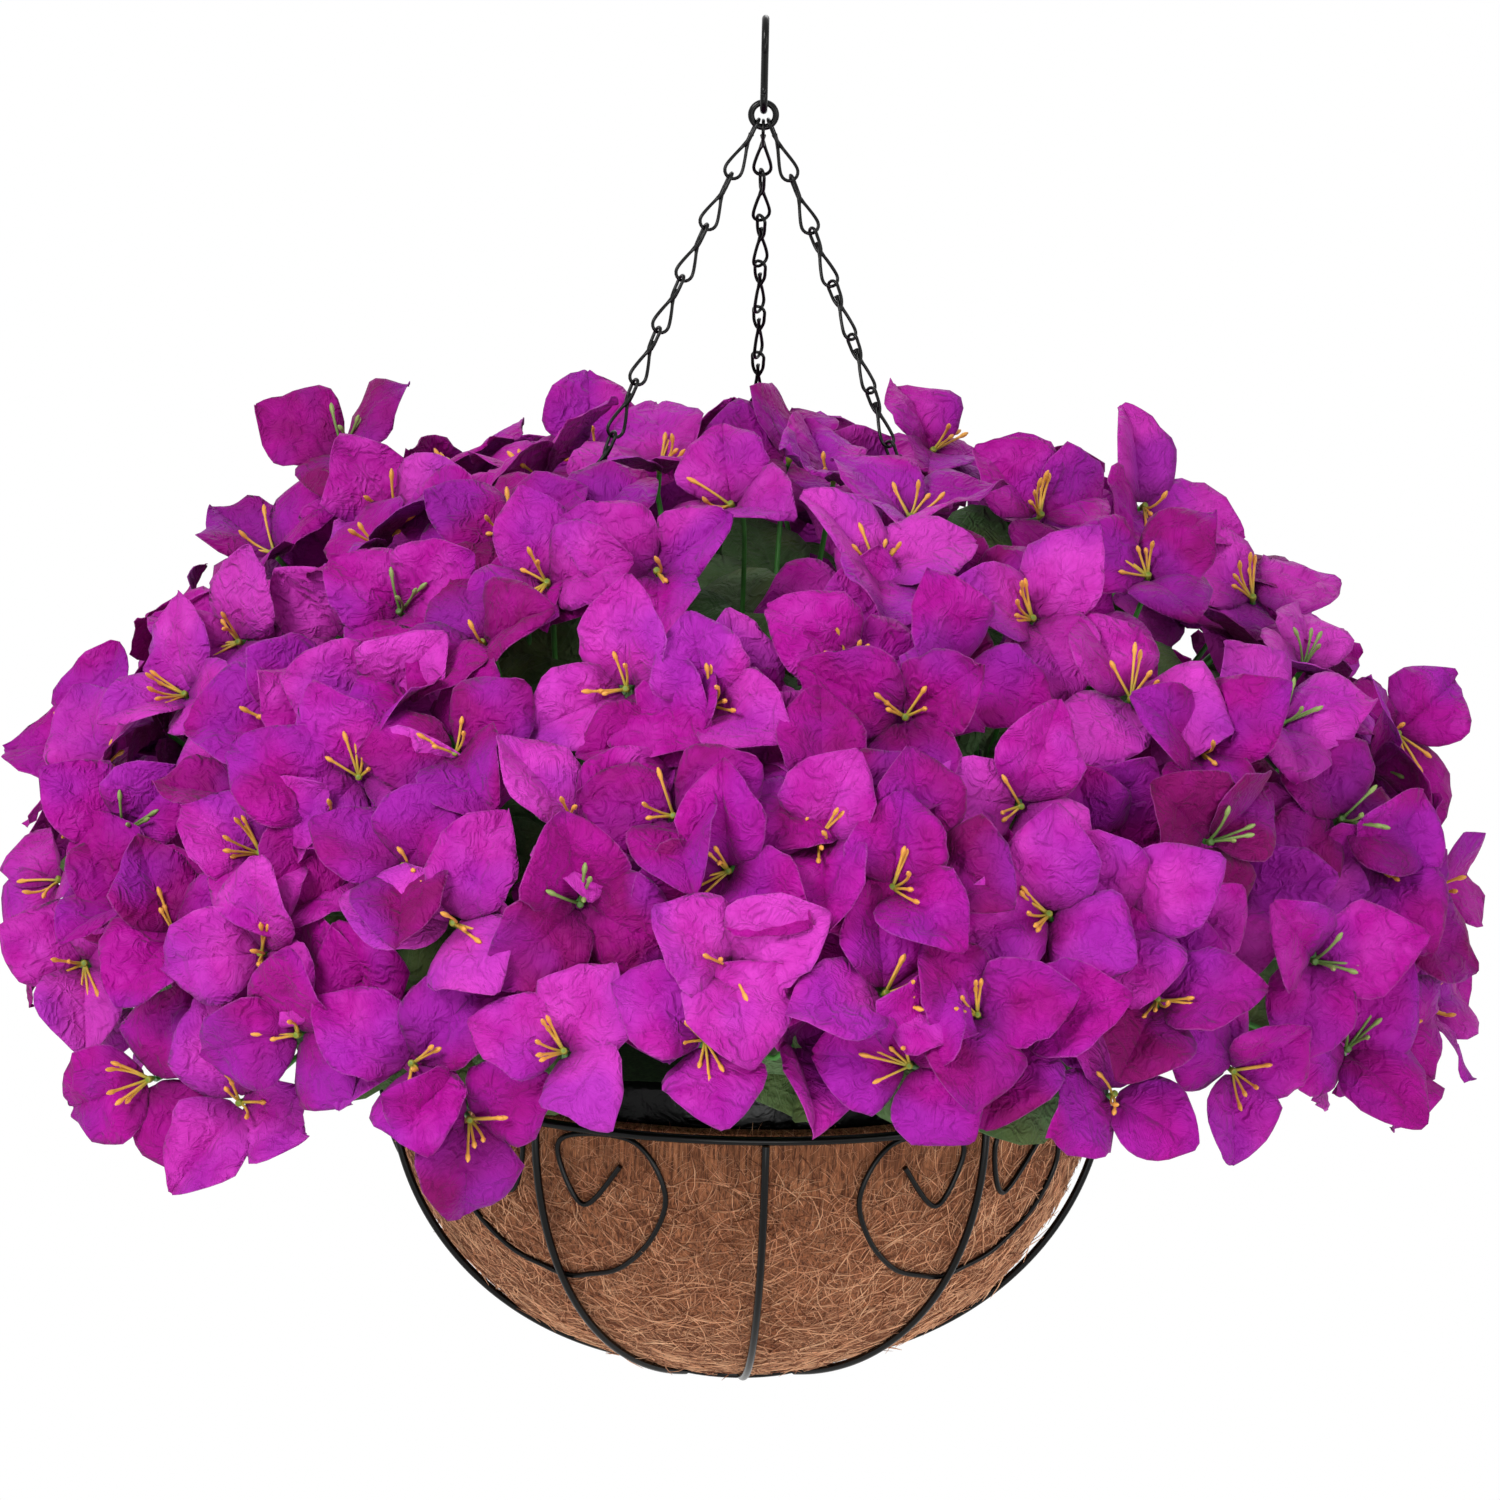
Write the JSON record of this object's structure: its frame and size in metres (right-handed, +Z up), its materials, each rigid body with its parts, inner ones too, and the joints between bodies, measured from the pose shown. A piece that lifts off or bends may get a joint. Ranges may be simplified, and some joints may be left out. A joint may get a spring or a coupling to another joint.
{
  "type": "hanging basket",
  "caption": "Wire hanging basket with heart scrolls and a coir liner, filled with a dome of artificial flowers and hung on three link chains from a ring and an S-hook.",
  "frame": {"origin": "the point inside the top bend of the S-hook that rests on what the basket hangs from", "axes": "+Z up, the front faces -Y, the two front chains go to the left and the right, +X to the right"},
  "size_m": [0.6003, 0.5963, 0.5497],
  "materials": {
    "black_wire_coat": "gloss black powder coat on steel wire",
    "coir": "felted brown coconut fibre",
    "black_film": "thin black polythene film",
    "green_foam": "dry floral foam",
    "flower_fabric": "dyed magenta polyester with green leaves and orange stamens"
  },
  "bodies": {
    "hook": {"s_hook": "black_wire_coat"},
    "ring": {"gather_ring": "black_wire_coat"},
    "basket": {"chain_left_link_01": "black_wire_coat", "chain_left_link_02": "black_wire_coat", "chain_left_link_03": "black_wire_coat", "chain_left_link_04": "black_wire_coat", "chain_left_link_05": "black_wire_coat", "chain_left_link_06": "black_wire_coat", "chain_left_link_07": "black_wire_coat", "chain_left_link_08": "black_wire_coat", "chain_right_link_01": "black_wire_coat", "chain_right_link_02": "black_wire_coat", "chain_right_link_03": "black_wire_coat", "chain_right_link_04": "black_wire_coat", "chain_right_link_05": "black_wire_coat", "chain_right_link_06": "black_wire_coat", "chain_right_link_07": "black_wire_coat", "chain_right_link_08": "black_wire_coat", "chain_back_link_01": "black_wire_coat", "chain_back_link_02": "black_wire_coat", "chain_back_link_03": "black_wire_coat", "chain_back_link_04": "black_wire_coat", "chain_back_link_05": "black_wire_coat", "chain_back_link_06": "black_wire_coat", "chain_back_link_07": "black_wire_coat", "chain_back_link_08": "black_wire_coat", "chain_left_lower": "black_wire_coat", "chain_right_lower": "black_wire_coat", "chain_back_lower": "black_wire_coat", "rim_hoop": "black_wire_coat", "base_ring": "black_wire_coat", "rib_01": "black_wire_coat", "rib_02": "black_wire_coat", "rib_03": "black_wire_coat", "rib_04": "black_wire_coat", "rib_05": "black_wire_coat", "rib_06": "black_wire_coat", "rib_07": "black_wire_coat", "rib_08": "black_wire_coat", "rib_09": "black_wire_coat", "rib_10": "black_wire_coat", "heart_scroll_1": "black_wire_coat", "heart_scroll_2": "black_wire_coat", "heart_scroll_3": "black_wire_coat", "heart_scroll_4": "black_wire_coat", "heart_scroll_5": "black_wire_coat", "coir_liner": "coir", "film_liner": "black_film", "foam_block": "green_foam", "flower_bush_1": "flower_fabric", "flower_bush_2": "flower_fabric", "flower_bush_3": "flower_fabric", "flower_bush_4": "flower_fabric", "flower_bush_5": "flower_fabric", "flower_bush_6": "flower_fabric", "flower_bush_7": "flower_fabric", "flower_bush_8": "flower_fabric", "flower_bush_9": "flower_fabric", "flower_bush_crown": "flower_fabric"}
  },
  "joints": [
    {"name": "ring_swing", "type": "hinge", "parent": "hook", "child": "ring", "pos_m": [0, 0, -0.035], "axis": [0, 1, 0], "range_deg": [-50, 50]},
    {"name": "basket_swing", "type": "hinge", "parent": "ring", "child": "basket", "pos_m": [0, 0, -0.04123], "axis": [1, 0, 0], "range_deg": [-35, 35]}
  ]
}
